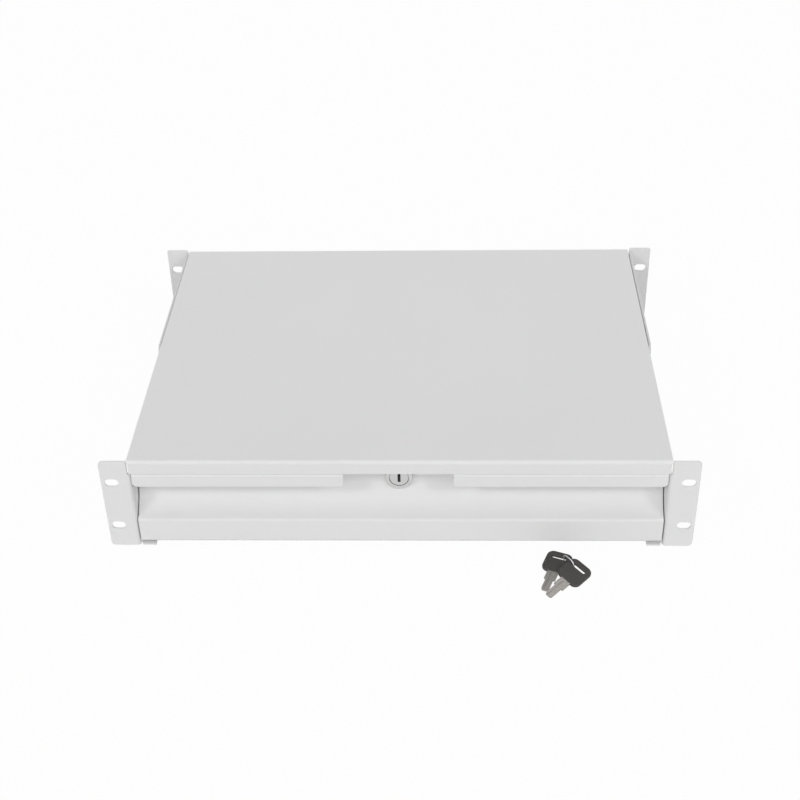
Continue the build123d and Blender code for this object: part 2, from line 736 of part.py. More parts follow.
plug_front = bezel_front + 0.2
lock_plug = rod_y(0, lock_height, plug_front, plug_front + 1.0, plug_face_diameter)
lock_plug = fillet(lock_plug.edges().group_by(Axis.Y)[0], 0.4)
lock_plug += rod_y(0, lock_height, plug_front + 1.0, cam_front, plug_diameter)
cam_screw_end = cam_front - 6.0
cam_back = cam_front + cam_thickness
plug_square = Pos(0, lock_height) * Rectangle(cam_square, cam_square)
keyway = Pos(0, lock_height) * Rectangle(keyway_width, keyway_height)
lock_plug += along_y(plug_square, cam_front, cam_back)
lock_plug -= along_y(keyway, plug_front - 1, plug_front + keyway_depth)
lock_plug -= rod_y(0, lock_height, cam_screw_end - 0.5, cam_back + 1, panel_screw_diameter + hole_clearance)
save(lock_plug, "lock_plug")

cam_outline = Circle(cam_half_width + 2.0)
cam_outline += Pos(cam_reach / 2, 0) * Rectangle(cam_reach, 2 * cam_half_width)
cam_outline -= Rectangle(cam_square + hole_clearance, cam_square + hole_clearance)
lock_cam = along_y(Pos(0, lock_height) * cam_outline, cam_front, cam_back)
cam_tip = lock_cam.edges().filter_by(Axis.Y).group_by(Axis.X)[-1]
lock_cam = fillet(cam_tip, 2.5)
save(lock_cam, "lock_cam")

cam_screw = rod_y(0, lock_height, cam_screw_end, cam_back, panel_screw_diameter)
cam_head = rod_y(0, lock_height, cam_back, cam_back + panel_head_height, cam_square + 3.0)
cam_head = fillet(cam_head.edges().group_by(Axis.Y)[-1], panel_head_height * 0.5)
cam_drive = along_y(Pos(0, lock_height) * (Rectangle(4.6, 0.9) + Rectangle(0.9, 4.6)),
                    cam_back + 1.0, cam_back + panel_head_height + 1)
save(cam_screw + cam_head - cam_drive, "cam_screw")

# Two keys lying on the floor in front of the drawer
blade_end = key_blade_length + key_root_length
wide_length = blade_end - key_step_length
blade_outline = Pos(key_step_length / 2, 0) * Rectangle(key_step_length, key_tip_width)
blade_outline += Pos(key_step_length + wide_length / 2, 0) * Rectangle(wide_length, key_blade_width)
blade_solid = extrude(blade_outline, amount=key_blade_thickness)
tip_edges = blade_solid.edges().filter_by(Axis.Z).group_by(Axis.X)[0]
blade_solid = fillet(tip_edges, 1.8)
groove = Pos(key_blade_length / 2 - 1, 0.6) * Rectangle(key_blade_length - 2, 1.2)
blade_solid -= Pos(0, 0, key_blade_thickness - 0.5) * extrude(groove, amount=1)
head_centre = key_blade_length + key_head_length / 2
head_outline = Pos(head_centre, 0) * RectangleRounded(key_head_length, key_head_width, key_head_corner)
slot_centre = key_blade_length + key_head_length - key_slot_inset
head_outline -= Pos(slot_centre, 0) * Rot(0, 0, 90) * SlotOverall(key_slot_length, key_slot_width)
head_low = (key_blade_thickness - key_head_thickness) / 2
head_solid = Pos(0, 0, head_low) * extrude(head_outline, amount=key_head_thickness)
head_rims = head_solid.faces().filter_by(Axis.Z).edges()
head_solid = chamfer(head_rims, 0.5)
head_solid -= blade_solid


def key_place(tip, angle, lift, rise, roll):
    return Pos(tip[0], tip[1], bottom + lift) * Rot(0, 0, angle) * Rot(0, -rise, 0) * Rot(-roll, 0, 0)


lower_place = key_place(lower_key_tip, lower_key_angle, 0.0, lower_key_rise, 0.0)
upper_place = key_place(upper_key_tip, upper_key_angle, upper_key_lift, upper_key_rise, -upper_key_roll)
save(lower_place * blade_solid, "lower_key_blade")
save(lower_place * head_solid, "lower_key_head")
save(upper_place * blade_solid, "upper_key_blade")
save(upper_place * head_solid, "upper_key_head")

# Wire ring that holds the keys together: it passes through both slots and under the lower head
lower_point = (lower_place * Pos(slot_centre, -key_ring_offset, 0)).position
upper_point = (upper_place * Pos(slot_centre, key_ring_offset, 0)).position
ring_foot = bottom + floor_gap + key_ring_wire / 2
lower_foot = Vector(lower_point.X, lower_point.Y, ring_foot)
upper_foot = Vector(upper_point.X, upper_point.Y, ring_foot)
ring_span = (upper_foot - lower_foot).length
ring_along = (upper_foot - lower_foot).normalized()
ring_side = Vector(0, 0, 1).cross(ring_along)
ring_lean = math.radians(key_ring_lean)
ring_up = Vector(0, 0, 1) * math.cos(ring_lean) - ring_side * math.sin(ring_lean)
ring_centre = (lower_foot + upper_foot) * 0.5
ring_plane = Plane(origin=ring_centre, x_dir=ring_along, z_dir=ring_along.cross(ring_up))
ring_outline = Pos(0, key_ring_height / 2) * Rectangle(ring_span, key_ring_height)
ring_outline = fillet(ring_outline.vertices().group_by(Axis.Y)[0], key_ring_foot_bend)
ring_outline = fillet(ring_outline.vertices().group_by(Axis.Y)[-1], key_ring_top_bend)
ring_path = ring_plane * ring_outline.wire()
ring_section = Plane(origin=ring_path @ 0, z_dir=ring_path % 0) * Circle(key_ring_wire / 2)
save(sweep(ring_section, path=ring_path), "key_ring")
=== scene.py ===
import bpy
import bmesh
import json
import math
from mathutils import Matrix, Vector


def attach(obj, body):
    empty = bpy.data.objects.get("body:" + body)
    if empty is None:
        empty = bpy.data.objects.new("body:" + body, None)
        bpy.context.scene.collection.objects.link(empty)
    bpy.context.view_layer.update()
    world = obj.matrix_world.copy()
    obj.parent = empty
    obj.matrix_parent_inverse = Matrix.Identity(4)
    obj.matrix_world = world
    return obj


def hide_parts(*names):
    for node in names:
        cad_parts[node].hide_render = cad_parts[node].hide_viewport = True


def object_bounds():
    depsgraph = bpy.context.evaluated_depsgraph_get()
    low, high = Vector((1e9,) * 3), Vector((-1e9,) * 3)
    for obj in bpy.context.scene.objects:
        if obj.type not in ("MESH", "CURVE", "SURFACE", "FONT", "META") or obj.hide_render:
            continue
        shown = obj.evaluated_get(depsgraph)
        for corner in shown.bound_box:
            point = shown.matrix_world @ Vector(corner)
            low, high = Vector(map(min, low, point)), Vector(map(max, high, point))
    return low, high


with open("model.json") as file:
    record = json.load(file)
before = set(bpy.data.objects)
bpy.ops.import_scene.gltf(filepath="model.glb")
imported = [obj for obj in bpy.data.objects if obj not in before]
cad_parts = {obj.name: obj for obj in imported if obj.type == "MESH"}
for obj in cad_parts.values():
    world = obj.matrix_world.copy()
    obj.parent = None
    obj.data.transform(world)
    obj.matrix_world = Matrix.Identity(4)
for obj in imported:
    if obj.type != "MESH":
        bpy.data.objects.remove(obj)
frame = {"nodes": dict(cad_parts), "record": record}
cadLow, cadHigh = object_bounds()
nodes = frame["nodes"]
bodyOf = {node: body for body, members in frame["record"]["behaviour"]["bodies"].items() for node in members}
slotOf = {part["node"]: part["material_slot"] for part in frame["record"]["subparts"]}
mm = 0.001
print("frame loaded:", len(nodes), "nodes")


# finishes: painted steel, plated steel, nickel, plastic and rubber

def startFinish(name, colour, roughness, metallic):
    material = bpy.data.materials.new(name)
    material.use_nodes = True
    shader = material.node_tree.nodes["Principled BSDF"]
    shader.inputs["Base Color"].default_value = (*colour, 1)
    shader.inputs["Roughness"].default_value = roughness
    shader.inputs["Metallic"].default_value = metallic
    return material, material.node_tree, shader


def addNode(tree, kind, **settings):
    node = tree.nodes.new(kind)
    for key, value in settings.items():
        if key in node.inputs:
            node.inputs[key].default_value = value
        else:
            setattr(node, key, value)
    return node


def noiseOf(tree, scale, detail, stretch=(1, 1, 1)):
    place = addNode(tree, "ShaderNodeTexCoord")
    mapping = addNode(tree, "ShaderNodeMapping", Scale=stretch)
    noise = addNode(tree, "ShaderNodeTexNoise", Scale=scale, Detail=detail)
    tree.links.new(place.outputs["Object"], mapping.inputs["Vector"])
    tree.links.new(mapping.outputs["Vector"], noise.inputs["Vector"])
    return noise.outputs["Fac"]


patternRange = (0.3, 0.7)                               # the part of a noise that the finishes use


def roughnessOf(tree, shader, source, low, high):
    spread = addNode(tree, "ShaderNodeMapRange")
    spread.inputs["From Min"].default_value, spread.inputs["From Max"].default_value = patternRange
    spread.inputs["To Min"].default_value = low
    spread.inputs["To Max"].default_value = high
    tree.links.new(source, spread.inputs["Value"])
    tree.links.new(spread.outputs["Result"], shader.inputs["Roughness"])


def tintOf(tree, shader, source, dark, light):
    ramp = addNode(tree, "ShaderNodeValToRGB")
    for element, position, colour in zip(ramp.color_ramp.elements, patternRange, (dark, light)):
        element.position = position
        element.color = (*colour, 1)
    tree.links.new(source, ramp.inputs["Fac"])
    tree.links.new(ramp.outputs["Color"], shader.inputs["Base Color"])


def bumpOf(tree, shader, source, strength, depth):
    bump = addNode(tree, "ShaderNodeBump", Strength=strength, Distance=depth)
    tree.links.new(source, bump.inputs["Height"])
    tree.links.new(bump.outputs["Normal"], shader.inputs["Normal"])


# peel is the orange peel of the baked powder, cloud the slow drift in shade over a panel
coat = {"colour": (0.82, 0.82, 0.82), "roughness": 0.5, "roughRange": (0.45, 0.56), "peelScale": 850,
        "peelDetail": 2, "peelBump": (0.35, 0.00004), "cloudScale": 6, "cloudDetail": 3,
        "cloudRange": (0.985, 1.01)}


def powderCoat():
    material, tree, shader = startFinish("powderCoat", coat["colour"], coat["roughness"], 0.0)
    peel = noiseOf(tree, coat["peelScale"], coat["peelDetail"])
    cloud = noiseOf(tree, coat["cloudScale"], coat["cloudDetail"])
    dark, light = ([channel * share for channel in coat["colour"]] for share in coat["cloudRange"])
    tintOf(tree, shader, cloud, dark, light)
    roughnessOf(tree, shader, peel, *coat["roughRange"])
    bumpOf(tree, shader, peel, *coat["peelBump"])
    return material


# drawn is the rolling marks along the rails
zinc = {"colour": (0.60, 0.61, 0.62), "roughness": 0.34, "roughRange": (0.33, 0.43), "spangleScale": 160,
        "spangleRange": (0.98, 1.02), "drawnScale": 900, "drawnDetail": 3, "drawnStretch": (1, 0.02, 1),
        "drawnBump": (0.12, 0.00003)}


def zincPlate():
    material, tree, shader = startFinish("zincPlate", zinc["colour"], zinc["roughness"], 1.0)
    flakes = addNode(tree, "ShaderNodeTexVoronoi", Scale=zinc["spangleScale"])
    place = addNode(tree, "ShaderNodeTexCoord")
    tree.links.new(place.outputs["Object"], flakes.inputs["Vector"])
    drawn = noiseOf(tree, zinc["drawnScale"], zinc["drawnDetail"], zinc["drawnStretch"])
    dark, light = ([channel * share for channel in zinc["colour"]] for share in zinc["spangleRange"])
    tintOf(tree, shader, flakes.outputs["Distance"], dark, light)
    roughnessOf(tree, shader, drawn, *zinc["roughRange"])
    bumpOf(tree, shader, drawn, *zinc["drawnBump"])
    return material


# one noise for each of these finishes: it sets the tint, the roughness and the bump that are given
grains = {
    "ballSteel": {"colour": (0.66, 0.66, 0.67), "roughness": 0.12, "metallic": 1.0,
                  "scale": 1400, "detail": 2, "roughRange": (0.08, 0.2)},
    "lockNickel": {"colour": (0.61, 0.61, 0.605), "roughness": 0.36, "metallic": 1.0,
                   "scale": 1600, "detail": 3, "stretch": (1, 1, 0.15), "roughRange": (0.3, 0.46),
                   "tint": ((0.57, 0.57, 0.565), (0.65, 0.65, 0.645)), "bump": (0.15, 0.00002)},
    "camSteel": {"colour": (0.52, 0.51, 0.47), "roughness": 0.4, "metallic": 1.0, "scale": 700, "detail": 4,
                 "tint": ((0.46, 0.45, 0.41), (0.56, 0.55, 0.51)), "bump": (0.2, 0.00003)},
    "keyPlastic": {"colour": (0.042, 0.038, 0.036), "roughness": 0.5, "metallic": 0.0,
                   "scale": 1500, "detail": 3, "roughRange": (0.42, 0.6),
                   "tint": ((0.037, 0.033, 0.031), (0.048, 0.044, 0.041)), "bump": (0.3, 0.00005)},
    "keyNickel": {"colour": (0.33, 0.315, 0.295), "roughness": 0.45, "metallic": 1.0,
                  "scale": 1300, "detail": 3, "stretch": (0.3, 1, 1),
                  "tint": ((0.285, 0.272, 0.253), (0.37, 0.354, 0.333)), "bump": (0.15, 0.00002)},
    "bumperRubber": {"colour": (0.03, 0.03, 0.03), "roughness": 0.75, "metallic": 0.0,
                     "scale": 900, "detail": 3,
                     "tint": ((0.024, 0.024, 0.024), (0.037, 0.037, 0.037)), "bump": (0.3, 0.00005)},
}


def grainFinish(name):
    look = grains[name]
    material, tree, shader = startFinish(name, look["colour"], look["roughness"], look["metallic"])
    grain = noiseOf(tree, look["scale"], look["detail"], look.get("stretch", (1, 1, 1)))
    if "tint" in look:
        tintOf(tree, shader, grain, *look["tint"])
    if "roughRange" in look:
        roughnessOf(tree, shader, grain, *look["roughRange"])
    if "bump" in look:
        bumpOf(tree, shader, grain, *look["bump"])
    return material


finishes = {"coat": powderCoat(), "zinc": zincPlate(), "ball_steel": grainFinish("ballSteel"),
            "lock_nickel": grainFinish("lockNickel"), "cam_steel": grainFinish("camSteel"),
            "key_plastic": grainFinish("keyPlastic"), "key_nickel": grainFinish("keyNickel"),
            "rubber": grainFinish("bumperRubber")}
print("finishes made:", len(finishes))


# dressed copies of the folded, turned and moulded pieces

def settle(piece, node):
    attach(piece, bodyOf[node])
    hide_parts(node)


def bakedMesh(piece, name):
    bpy.context.view_layer.update()
    graph = bpy.context.evaluated_depsgraph_get()
    mesh = bpy.data.meshes.new_from_object(piece.evaluated_get(graph), depsgraph=graph)
    mesh.name = name
    return mesh


# lengths in millimetres, angles in degrees
rounding = {"joinGap": 0.002, "flatAngle": 0.3, "sharpAngle": 35, "segments": 2}


def joinedShape(mesh):
    shape = bmesh.new()
    shape.from_mesh(mesh)
    bmesh.ops.remove_doubles(shape, verts=shape.verts, dist=rounding["joinGap"] * mm)
    return shape


def roundEdges(node, edgeRadius):
    mesh = nodes[node].data.copy()
    shape = joinedShape(mesh)
    bmesh.ops.dissolve_limit(shape, angle_limit=math.radians(rounding["flatAngle"]), verts=shape.verts,
                             edges=shape.edges)
    shape.to_mesh(mesh)
    shape.free()
    mesh.materials.clear()
    mesh.materials.append(finishes[slotOf[node]])
    piece = bpy.data.objects.new(node + ".dressed", mesh)
    bpy.context.scene.collection.objects.link(piece)
    mesh.shade_smooth()
    sharp = math.radians(rounding["sharpAngle"])
    if edgeRadius:
        bevel = piece.modifiers.new("edges", "BEVEL")
        bevel.width = edgeRadius * mm
        bevel.segments = rounding["segments"]
        bevel.limit_method = "ANGLE"
        bevel.angle_limit = sharp
        bevel.miter_outer = "MITER_ARC"
    else:
        mesh.set_sharp_from_angle(angle=sharp)
    weigh = piece.modifiers.new("normals", "WEIGHTED_NORMAL")
    weigh.mode = "FACE_AREA"
    weigh.keep_sharp = True
    done = bakedMesh(piece, node + ".dressed")
    piece.modifiers.clear()
    piece.data = done
    settle(piece, node)


# edge radius in millimetres for each piece
edges = {"left_side_panel": 0.3, "right_side_panel": 0.3, "top_cover": 0.25, "rear_panel": 0.25,
         "left_rear_bracket": 0.35, "right_rear_bracket": 0.35, "drawer_front": 0.25, "drawer_tray": 0.2,
         "tray_back": 0.2, "lock_strike": 0.25, "left_cabinet_rail": 0.2, "right_cabinet_rail": 0.2,
         "left_middle_rail": 0.2, "right_middle_rail": 0.2, "left_drawer_rail": 0.2, "right_drawer_rail": 0.2,
         "left_outer_ball_cage": 0, "right_outer_ball_cage": 0, "left_inner_ball_cage": 0,
         "right_inner_ball_cage": 0, "lock_body": 0.06, "lock_plug": 0.06, "lock_nut": 0.3, "lock_cam": 0.25,
         "cam_screw": 0.12, "rear_bumpers": 0, "lower_key_blade": 0.12, "upper_key_blade": 0.12,
         "lower_key_head": 0.3, "upper_key_head": 0.3, "key_ring": 0}
for node, radius in edges.items():
    roundEdges(node, radius)
print("dressed pieces:", len(edges))


# screws, rivets, nuts and balls: one Geometry Nodes tree for each kind, planted where the frame has them

def solidBoxes(node):
    shape = joinedShape(nodes[node].data)
    boxes, seen = [], set()
    for first in shape.verts:
        if first in seen:
            continue
        seen.add(first)
        group = [first]
        for vert in group:                              # the list grows while it is walked
            fresh = {edge.other_vert(vert) for edge in vert.link_edges} - seen
            seen |= fresh
            group += fresh
        low = Vector([min(vert.co[axis] for vert in group) for axis in range(3)])
        high = Vector([max(vert.co[axis] for vert in group) for axis in range(3)])
        boxes.append((low, high))
    shape.free()
    return boxes


def startTree(name, sizes):
    tree = bpy.data.node_groups.new(name, "GeometryNodeTree")
    tree.is_modifier = True
    face = tree.interface
    face.new_socket("Places", in_out="INPUT", socket_type="NodeSocketGeometry")
    for size in sizes:
        face.new_socket(size, in_out="INPUT", socket_type="NodeSocketFloat")
    face.new_socket("Finish", in_out="INPUT", socket_type="NodeSocketMaterial")
    face.new_socket("Fasteners", in_out="OUTPUT", socket_type="NodeSocketGeometry")
    return tree, tree.nodes.new("NodeGroupInput")


def times(tree, socket, factor):
    node = addNode(tree, "ShaderNodeMath", operation="MULTIPLY")
    tree.links.new(socket, node.inputs[0])
    node.inputs[1].default_value = factor
    return node.outputs[0]


def pairOf(tree, operation, first, second):
    node = addNode(tree, "ShaderNodeMath", operation=operation)
    tree.links.new(first, node.inputs[0])
    tree.links.new(second, node.inputs[1])
    return node.outputs[0]


# corners of the round shapes, angles in degrees, the gap in millimetres, the rest shares of a head or nut
turning = {"corners": 40, "nutCorners": 6, "boreCorners": 32, "ballSegments": 24, "ballRings": 14,
           "domeSteps": (0, 18, 36, 54, 70, 82), "sharpAngle": 32, "closeGap": 0.001, "headRim": 0.3,
           "recessSink": 0.05, "insertRim": 0.8, "insertInset": 0.96, "nutBevel": 0.12, "nutInset": 0.93}


def disc(tree, corners, radius):
    node = addNode(tree, "GeometryNodeMeshCircle", fill_type="NGON", Vertices=corners)
    tree.links.new(radius, node.inputs["Radius"])
    return node.outputs[0]


# a turned solid, ring by ring: each ring rises from the last one and is then scaled
def growRings(tree, foot, rings):
    turned = addNode(tree, "GeometryNodeFlipFaces")
    tree.links.new(foot, turned.inputs[0])
    body, cap = foot, None
    for rise, scale in rings:
        raised = addNode(tree, "GeometryNodeExtrudeMesh", mode="FACES")
        raised.inputs["Individual"].default_value = False
        tree.links.new(body, raised.inputs["Mesh"])
        if cap:
            tree.links.new(cap, raised.inputs["Selection"])
        if rise is None:
            raised.inputs["Offset Scale"].default_value = 0.0
        else:
            tree.links.new(rise, raised.inputs["Offset Scale"])
        sized = addNode(tree, "GeometryNodeScaleElements", domain="FACE")
        tree.links.new(raised.outputs["Mesh"], sized.inputs["Geometry"])
        tree.links.new(raised.outputs["Top"], sized.inputs["Selection"])
        if isinstance(scale, float):
            sized.inputs["Scale"].default_value = scale
        else:
            tree.links.new(scale, sized.inputs["Scale"])
        body, cap = sized.outputs["Geometry"], raised.outputs["Top"]
    whole = addNode(tree, "GeometryNodeJoinGeometry")
    tree.links.new(turned.outputs[0], whole.inputs[0])
    tree.links.new(body, whole.inputs[0])
    closed = addNode(tree, "GeometryNodeMergeByDistance", Distance=turning["closeGap"] * mm)
    tree.links.new(whole.outputs[0], closed.inputs["Geometry"])
    return closed.outputs["Geometry"]


def domeRings(tree, height, angles):
    rings = []
    for low, high in zip(angles, angles[1:]):
        lowTurn, highTurn = math.radians(low), math.radians(high)
        rise = times(tree, height, math.sin(highTurn) - math.sin(lowTurn))
        rings.append((rise, math.cos(highTurn) / math.cos(lowTurn)))
    return rings


def moved(tree, shape, height, turn=0.0):
    node = addNode(tree, "GeometryNodeTransform", Rotation=(0, 0, math.radians(turn)))
    spot = addNode(tree, "ShaderNodeCombineXYZ")
    tree.links.new(height, spot.inputs["Z"])
    tree.links.new(spot.outputs[0], node.inputs["Translation"])
    tree.links.new(shape, node.inputs["Geometry"])
    return node.outputs[0]


# puts the top of a shape, grown up from zero, at the place itself
def sunk(tree, shape, source):
    return moved(tree, shape, times(tree, source.outputs["Length"], -1.0))


def cutOut(tree, shape, tool):
    node = addNode(tree, "GeometryNodeMeshBoolean", operation="DIFFERENCE")
    tree.links.new(shape, node.inputs["Mesh 1"])
    tree.links.new(tool, node.inputs["Mesh 2"])
    return node.outputs["Mesh"]


def bored(tree, shape, source):
    drill = addNode(tree, "GeometryNodeMeshCylinder", Vertices=turning["boreCorners"])
    tree.links.new(times(tree, source.outputs["Bore"], 0.5), drill.inputs["Radius"])
    tree.links.new(times(tree, source.outputs["Length"], 4.0), drill.inputs["Depth"])
    return cutOut(tree, shape, drill.outputs["Mesh"])


# sets one shape on every place, along its facing, and gives it the finish
def plantOn(tree, source, shape):
    facing = addNode(tree, "GeometryNodeInputNamedAttribute", data_type="FLOAT_VECTOR", Name="facing")
    turn = addNode(tree, "FunctionNodeAlignRotationToVector", axis="Z")
    plant = addNode(tree, "GeometryNodeInstanceOnPoints")
    real = addNode(tree, "GeometryNodeRealizeInstances")
    smooth = addNode(tree, "GeometryNodeSetShadeSmooth")
    paint = addNode(tree, "GeometryNodeSetMaterial")
    out = addNode(tree, "NodeGroupOutput")
    tree.links.new(facing.outputs["Attribute"], turn.inputs["Vector"])
    tree.links.new(source.outputs["Places"], plant.inputs["Points"])
    tree.links.new(shape, plant.inputs["Instance"])
    tree.links.new(turn.outputs["Rotation"], plant.inputs["Rotation"])
    tree.links.new(plant.outputs["Instances"], real.inputs["Geometry"])
    tree.links.new(real.outputs["Geometry"], smooth.inputs["Geometry"])
    tree.links.new(smooth.outputs["Geometry"], paint.inputs["Geometry"])
    tree.links.new(source.outputs["Finish"], paint.inputs["Material"])
    tree.links.new(paint.outputs["Geometry"], out.inputs["Fasteners"])


def shankStart(tree, source):
    sizes = source.outputs
    foot = disc(tree, turning["corners"], times(tree, sizes["Shank Diameter"], 0.5))
    shankRun = pairOf(tree, "SUBTRACT", sizes["Length"], sizes["Head Height"])
    flare = pairOf(tree, "DIVIDE", sizes["Head Diameter"], sizes["Shank Diameter"])
    return foot, [(shankRun, 1.0), (None, flare)]


# shank and low domed head
def headedShape(tree, source):
    foot, rings = shankStart(tree, source)
    height, steps, rim = source.outputs["Head Height"], turning["domeSteps"], turning["headRim"]
    crown = times(tree, height, (1 - rim) / math.sin(math.radians(steps[-1])))
    rings += [(times(tree, height, rim), 1.0)] + domeRings(tree, crown, steps)
    return sunk(tree, growRings(tree, foot, rings), source)


def rivetTree():
    tree, source = startTree("domeRivets", ["Head Diameter", "Head Height", "Shank Diameter", "Length"])
    plantOn(tree, source, headedShape(tree, source))
    return tree


def screwTree():
    sizes = ["Head Diameter", "Head Height", "Shank Diameter", "Length", "Recess Span", "Recess Width",
             "Recess Depth"]
    tree, source = startTree("crossScrews", sizes)
    depth = source.outputs["Recess Depth"]
    arm = addNode(tree, "ShaderNodeCombineXYZ")
    tree.links.new(source.outputs["Recess Span"], arm.inputs["X"])
    tree.links.new(source.outputs["Recess Width"], arm.inputs["Y"])
    tree.links.new(times(tree, depth, 2.0), arm.inputs["Z"])
    bar = addNode(tree, "GeometryNodeMeshCube")
    tree.links.new(arm.outputs[0], bar.inputs["Size"])
    shape = headedShape(tree, source)
    sink = turning["recessSink"]
    for turn, share in ((0, -sink), (90, sink)):        # the two bars differ a little in depth
        shape = cutOut(tree, shape, moved(tree, bar.outputs[0], times(tree, depth, share), turn))
    plantOn(tree, source, shape)
    return tree


def nutTree():
    tree, source = startTree("hexNuts", ["Corner Diameter", "Bore", "Length"])
    length, bevel, inset = source.outputs["Length"], turning["nutBevel"], turning["nutInset"]
    foot = disc(tree, turning["nutCorners"], times(tree, source.outputs["Corner Diameter"], 0.5 * inset))
    edge = times(tree, length, bevel)
    rings = [(edge, 1 / inset), (times(tree, length, 1 - 2 * bevel), 1.0), (edge, inset)]
    plantOn(tree, source, sunk(tree, bored(tree, growRings(tree, foot, rings), source), source))
    return tree


def insertTree():
    sizes = ["Head Diameter", "Head Height", "Shank Diameter", "Bore", "Length"]
    tree, source = startTree("threadInserts", sizes)
    foot, rings = shankStart(tree, source)
    height, rim = source.outputs["Head Height"], turning["insertRim"]
    rings += [(times(tree, height, rim), 1.0), (times(tree, height, 1 - rim), turning["insertInset"])]
    plantOn(tree, source, sunk(tree, bored(tree, growRings(tree, foot, rings), source), source))
    return tree


def ballTree():
    tree, source = startTree("bearingBalls", ["Ball Diameter"])
    ball = addNode(tree, "GeometryNodeMeshUVSphere", Segments=turning["ballSegments"],
                   Rings=turning["ballRings"])
    tree.links.new(times(tree, source.outputs["Ball Diameter"], 0.5), ball.inputs["Radius"])
    plantOn(tree, source, ball.outputs["Mesh"])
    return tree


# facing is the axis that a head points along; side 1 is away from the middle of the drawer, -1 towards it
fasteners = {
    "rear_panel_screws": {"kind": "screw", "facing": (0, 1, 0), "Head Height": 2.4, "Shank Diameter": 4.0,
                          "Recess Span": 4.2, "Recess Width": 0.9, "Recess Depth": 1.3},
    "bracket_screws": {"kind": "screw", "facing": (1, 0, 0), "side": 1, "Head Height": 2.7,
                       "Shank Diameter": 5.0, "Recess Span": 5.0, "Recess Width": 1.0, "Recess Depth": 1.5},
    "case_rail_rivets": {"kind": "rivet", "facing": (1, 0, 0), "side": 1, "Head Height": 1.1,
                         "Shank Diameter": 4.0},
    "drawer_rail_rivets": {"kind": "rivet", "facing": (1, 0, 0), "side": -1, "Head Height": 1.1,
                           "Shank Diameter": 4.0},
    "tray_back_rivets": {"kind": "rivet", "facing": (1, 0, 0), "side": 1, "Head Height": 1.1,
                         "Shank Diameter": 4.0},
    "bracket_inserts": {"kind": "insert", "facing": (1, 0, 0), "side": 1, "Head Height": 1.5,
                        "Shank Diameter": 7.0, "Bore": 5.2},
    "cover_nuts": {"kind": "nut", "facing": (0, 0, -1), "Bore": 4.2},
    "front_nuts": {"kind": "nut", "facing": (0, 1, 0), "Bore": 4.2},
}
trees = {"screw": screwTree(), "rivet": rivetTree(), "insert": insertTree(), "nut": nutTree(),
         "ball": ballTree()}


def plantPieces(node, kind, sizes, places, facings):
    mesh = bpy.data.meshes.new(node + ".places")
    mesh.from_pydata(places, [], [])
    facing = mesh.attributes.new("facing", "FLOAT_VECTOR", "POINT")
    for item, direction in zip(facing.data, facings):
        item.vector = direction
    piece = bpy.data.objects.new(node + ".dressed", mesh)
    bpy.context.scene.collection.objects.link(piece)
    grow = piece.modifiers.new("grow", "NODES")
    grow.node_group = trees[kind]
    for socket in trees[kind].interface.items_tree:
        if socket.in_out == "INPUT" and socket.name in sizes:
            grow[socket.identifier] = sizes[socket.name] * mm
        elif socket.name == "Finish":
            grow[socket.identifier] = finishes[slotOf[node]]
    done = bakedMesh(piece, node + ".dressed")
    piece.modifiers.clear()
    piece.data = done
    done.set_sharp_from_angle(angle=math.radians(turning["sharpAngle"]))
    settle(piece, node)


def plantFasteners(node, spec):
    facing = Vector(spec["facing"])
    along = max(range(3), key=lambda axis: abs(facing[axis]))
    boxes = solidBoxes(node)
    places, facings = [], []
    for low, high in boxes:
        place = (low + high) / 2
        out = facing
        if "side" in spec:
            out = facing * math.copysign(spec["side"], spec["side"] * place.x)
        place[along] = high[along] if out[along] > 0 else low[along]
        places.append(place)
        facings.append(out)
    size = (boxes[-1][1] - boxes[-1][0]) / mm
    across = max(size[axis] for axis in range(3) if axis != along)
    sizes = dict(spec, Length=size[along])
    sizes["Head Diameter"] = sizes["Corner Diameter"] = across
    plantPieces(node, spec["kind"], sizes, places, facings)
    return len(places)


planted = sum(plantFasteners(node, spec) for node, spec in fasteners.items())
print("fasteners planted:", planted)

for node in [side + row for side in ("left", "right") for row in ("_outer_balls", "_inner_balls")]:
    boxes = solidBoxes(node)
    spots = [(low + high) / 2 for low, high in boxes]
    ballSize = {"Ball Diameter": (boxes[0][1].z - boxes[0][0].z) / mm}
    plantPieces(node, "ball", ballSize, spots, [Vector((0, 0, 1))] * len(spots))
print("balls planted")


# stage, light and camera, in metres

stage = {"floorSize": 8.0, "floorGap": 0.0001, "floorGrey": 0.72, "floorGlow": 0.97, "skyLight": 0.36}


# one for the rays that show the background: camera, glossy and transmission rays
def shownRays(tree):
    path = addNode(tree, "ShaderNodeLightPath")
    shown = path.outputs["Is Camera Ray"]
    for kind in ("Is Glossy Ray", "Is Transmission Ray"):
        shown = pairOf(tree, "MAXIMUM", shown, path.outputs[kind])
    return shown


def whiteFloor():
    half = stage["floorSize"] / 2
    level = cadLow.z - stage["floorGap"]
    mesh = bpy.data.meshes.new("floor")
    corners = [(-half, -half, level), (half, -half, level), (half, half, level), (-half, half, level)]
    mesh.from_pydata(corners, [], [(0, 1, 2, 3)])
    floor = bpy.data.objects.new("floor", mesh)
    bpy.context.scene.collection.objects.link(floor)
    material = bpy.data.materials.new("floorWhite")
    material.use_nodes = True
    tree = material.node_tree
    tree.nodes.clear()
    out = addNode(tree, "ShaderNodeOutputMaterial")
    paper = addNode(tree, "ShaderNodeBsdfDiffuse", Color=(*[stage["floorGrey"]] * 3, 1))
    glow = addNode(tree, "ShaderNodeEmission", Strength=1.0)
    blend = addNode(tree, "ShaderNodeMixShader")
    tree.links.new(times(tree, shownRays(tree), stage["floorGlow"]), blend.inputs["Fac"])
    tree.links.new(paper.outputs[0], blend.inputs[1])
    tree.links.new(glow.outputs[0], blend.inputs[2])
    tree.links.new(blend.outputs[0], out.inputs["Surface"])
    mesh.materials.append(material)


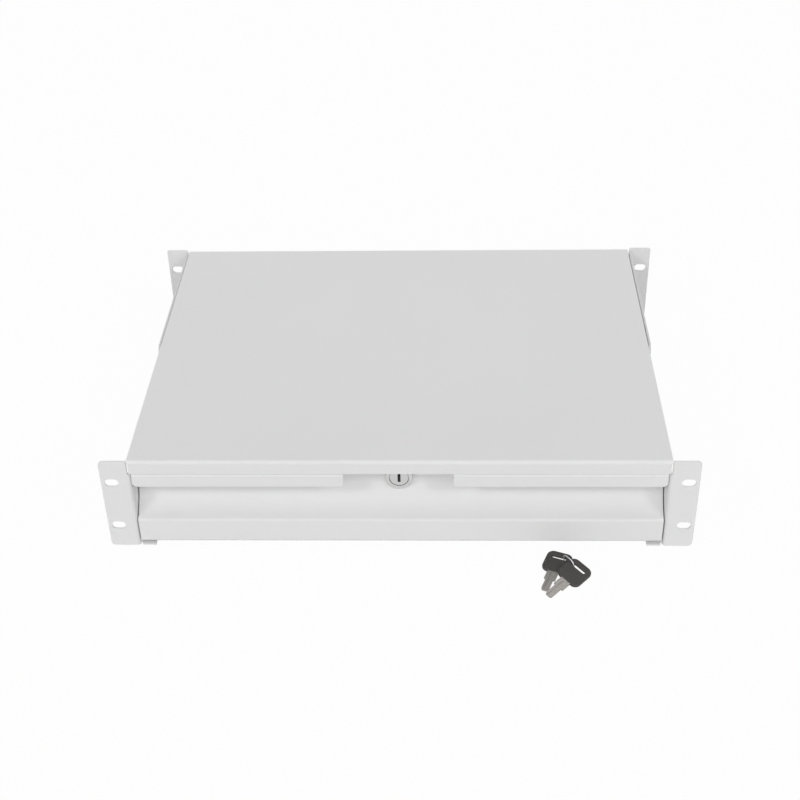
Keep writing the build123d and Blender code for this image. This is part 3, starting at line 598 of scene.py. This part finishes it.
def softSky():
    world = bpy.data.worlds.new("softSky")
    bpy.context.scene.world = world
    world.use_nodes = True
    tree = world.node_tree
    tree.nodes.clear()
    white = (1, 1, 1, 1)
    lit = addNode(tree, "ShaderNodeBackground", Color=white, Strength=stage["skyLight"])
    shown = addNode(tree, "ShaderNodeBackground", Color=white, Strength=1.0)
    blend = addNode(tree, "ShaderNodeMixShader")
    out = addNode(tree, "ShaderNodeOutputWorld")
    tree.links.new(shownRays(tree), blend.inputs["Fac"])
    tree.links.new(lit.outputs[0], blend.inputs[1])
    tree.links.new(shown.outputs[0], blend.inputs[2])
    tree.links.new(blend.outputs[0], out.inputs["Surface"])


# soft boxes, all turned to the aim: one in front, one low, two at the sides, one above and one behind
aim = (0, 0.1, 0)
lamps = {"frontSoft": {"place": (0, -4.6, 3.0), "size": (7.2, 2.4), "power": 62.0},
         "lowSoft": {"place": (0, -5.0, 0.45), "size": (6.0, 0.6), "power": 31.0},
         "leftSoft": {"place": (-4.4, -3.9, 4.1), "size": (1.3, 1.3), "power": 85.28},
         "rightSoft": {"place": (4.4, -3.9, 4.1), "size": (1.3, 1.3), "power": 82.0},
         "topSoft": {"place": (0, 0.7, 3.2), "size": (2.8, 2.0), "power": 11.0},
         "backSoft": {"place": (0, 4.8, 2.4), "size": (5.0, 2.0), "power": 30.0}}


def softLamp(name, lamp):
    box = bpy.data.lights.new(name, "AREA")
    box.shape = "RECTANGLE"
    box.size, box.size_y = lamp["size"]
    box.energy = lamp["power"]
    light = bpy.data.objects.new(name, box)
    light.visible_camera = False
    light.location = lamp["place"]
    light.rotation_euler = (Vector(aim) - Vector(lamp["place"])).to_track_quat("-Z", "Y").to_euler()
    bpy.context.scene.collection.objects.link(light)


# the camera stands above and in front, a little to the right of the middle
view = {"place": (0.03941, -0.87599, 0.72243), "pitch": 35.236, "yaw": -2.379, "roll": 1.467,
        "focalPixels": 1390.52, "framePixels": 800, "sensor": 36.0, "clip": (0.01, 30)}


def photoCamera():
    pitch, yaw, roll = (math.radians(view[key]) for key in ("pitch", "yaw", "roll"))
    ahead = Vector((math.sin(yaw) * math.cos(pitch), math.cos(yaw) * math.cos(pitch), -math.sin(pitch)))
    level = Vector((math.cos(yaw), -math.sin(yaw), 0))
    down = ahead.cross(level)
    right = math.cos(roll) * level + math.sin(roll) * down
    up = math.sin(roll) * level - math.cos(roll) * down
    turn = Matrix((right, up, -ahead)).transposed().to_4x4()
    lens = bpy.data.cameras.new("photoCamera")
    lens.sensor_fit = "HORIZONTAL"
    lens.sensor_width = view["sensor"]
    lens.lens = view["focalPixels"] * view["sensor"] / view["framePixels"]
    lens.clip_start, lens.clip_end = view["clip"]
    camera = bpy.data.objects.new("photoCamera", lens)
    camera.matrix_world = Matrix.Translation(view["place"]) @ turn
    bpy.context.scene.collection.objects.link(camera)
    bpy.context.scene.camera = camera


whiteFloor()
softSky()
for name, lamp in lamps.items():
    softLamp(name, lamp)
photoCamera()
bpy.context.scene.view_settings.view_transform = "Standard"
print("stage set")
